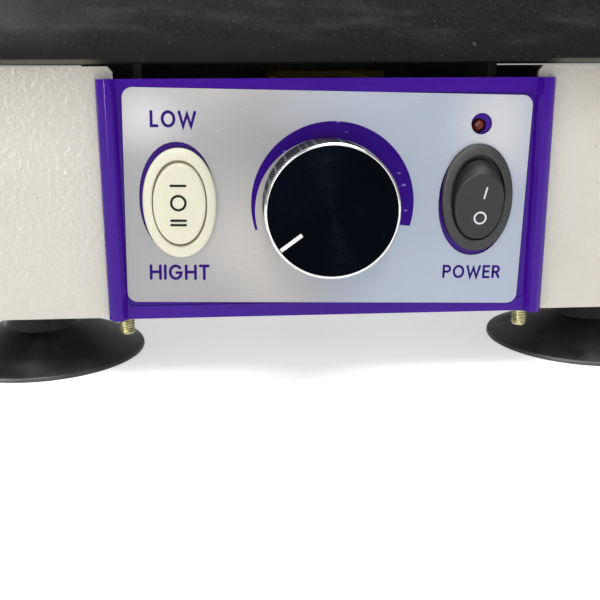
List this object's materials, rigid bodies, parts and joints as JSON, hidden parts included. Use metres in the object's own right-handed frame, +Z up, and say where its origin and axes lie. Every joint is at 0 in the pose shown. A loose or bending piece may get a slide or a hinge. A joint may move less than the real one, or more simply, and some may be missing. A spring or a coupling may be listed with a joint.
{
  "type": "plaster vibrator",
  "caption": "Bench vibrator with a rubber-topped shaking table, suction feet, and a front panel with an intensity knob and rocker switches.",
  "frame": {"origin": "on the bench, below the centre of the bounding box (between the knob's face and the lip of the fuse drawer)", "axes": "+X to the right as seen from the control panel, +Y from the control panel to the back, +Z up"},
  "size_m": [0.255, 0.2249, 0.1164],
  "materials": {
    "white_paint": "textured powder coat",
    "bare_steel": "zinc-plated sheet",
    "bright_steel": "bright zinc",
    "yellow_zinc": "yellow zinc on steel",
    "black_rubber": "satin rubber",
    "slab_rubber": "matt rubber with dust",
    "purple_plastic": "glossy moulded",
    "silver_film": "satin printed film",
    "ivory_plastic": "satin moulded",
    "black_plastic": "fine texture",
    "black_anodised": "spun and anodised, with a bright edge",
    "red_lens": "clear red",
    "core_steel": "stacked laminations",
    "yellow_tape": "polyester tape",
    "board_green": "solder mask",
    "blue_film": "moulded box",
    "terminal_green": "moulded",
    "black_inlet": "moulded",
    "fuse_glass": "glass with metal caps",
    "heat_sink": "extruded"
  },
  "bodies": {
    "machine": {"housing": "white_paint", "base_plate": "bare_steel", "control_panel": "purple_plastic", "panel_label": "silver_film", "panel_screw_left": "yellow_zinc", "panel_screw_right": "yellow_zinc", "speed_switch_body": "ivory_plastic", "power_switch_body": "black_plastic", "potentiometer": "bare_steel", "potentiometer_nut": "bright_steel", "power_lamp": "red_lens", "magnet_core": "core_steel", "magnet_coil": "yellow_tape", "magnet_saddle": "bare_steel", "magnet_bolt_left": "bright_steel", "magnet_bolt_right": "bright_steel", "circuit_board": "board_green", "heat_sink": "heat_sink", "capacitor": "blue_film", "terminal_block": "terminal_green", "mains_inlet": "black_inlet", "suction_foot_front_left": "black_rubber", "foot_stud_front_left": "bright_steel", "foot_nut_front_left": "bright_steel", "side_screw_front_left": "bright_steel", "buffer_front_left": "black_rubber", "suction_foot_front_right": "black_rubber", "foot_stud_front_right": "bright_steel", "foot_nut_front_right": "bright_steel", "side_screw_front_right": "bright_steel", "buffer_front_right": "black_rubber", "suction_foot_rear_left": "black_rubber", "foot_stud_rear_left": "bright_steel", "foot_nut_rear_left": "bright_steel", "side_screw_rear_left": "bright_steel", "buffer_rear_left": "black_rubber", "suction_foot_rear_right": "black_rubber", "foot_stud_rear_right": "bright_steel", "foot_nut_rear_right": "bright_steel", "side_screw_rear_right": "bright_steel", "buffer_rear_right": "black_rubber", "board_standoff_1": "bright_steel", "board_standoff_2": "bright_steel", "board_standoff_3": "bright_steel", "board_standoff_4": "bright_steel"},
    "table": {"table_plate": "bare_steel", "rubber_slab": "slab_rubber", "armature": "core_steel", "hanger_left": "bare_steel", "hanger_right": "bare_steel", "table_stiffener": "bare_steel"},
    "knob": {"intensity_knob": "black_anodised", "potentiometer_shaft": "bright_steel", "knob_grub_screw": "bright_steel"},
    "speed_rocker": {"speed_switch_rocker": "ivory_plastic"},
    "power_rocker": {"power_switch_rocker": "black_plastic"},
    "fuse_carrier": {"fuse_drawer": "black_inlet", "fuse": "fuse_glass"}
  },
  "joints": [
    {"name": "table_shake", "type": "slide", "parent": "machine", "child": "table", "axis": [0, 0, 1], "range_m": [-0.0004, 0.0004], "stiffness_N_per_m": 200000, "springref_m": 0.00015, "deforming": ["buffer_front_left", "buffer_front_right", "buffer_rear_left", "buffer_rear_right"]},
    {"name": "knob_turn", "type": "hinge", "parent": "machine", "child": "knob", "pos_m": [-0.0007, -0.10234, 0.0528], "axis": [0, -1, 0], "range_deg": [-276, 24]},
    {"name": "speed_rocker_tilt", "type": "hinge", "parent": "machine", "child": "speed_rocker", "pos_m": [-0.044, -0.09296, 0.0537], "axis": [1, 0, 0], "range_deg": [-10, 10]},
    {"name": "power_rocker_tilt", "type": "hinge", "parent": "machine", "child": "power_rocker", "pos_m": [0.044, -0.09206, 0.0537], "axis": [1, 0, 0], "range_deg": [-20, 0]},
    {"name": "fuse_drawer_slide", "type": "slide", "parent": "machine", "child": "fuse_carrier", "axis": [0, 1, 0], "range_m": [0, 0.022]}
  ]
}
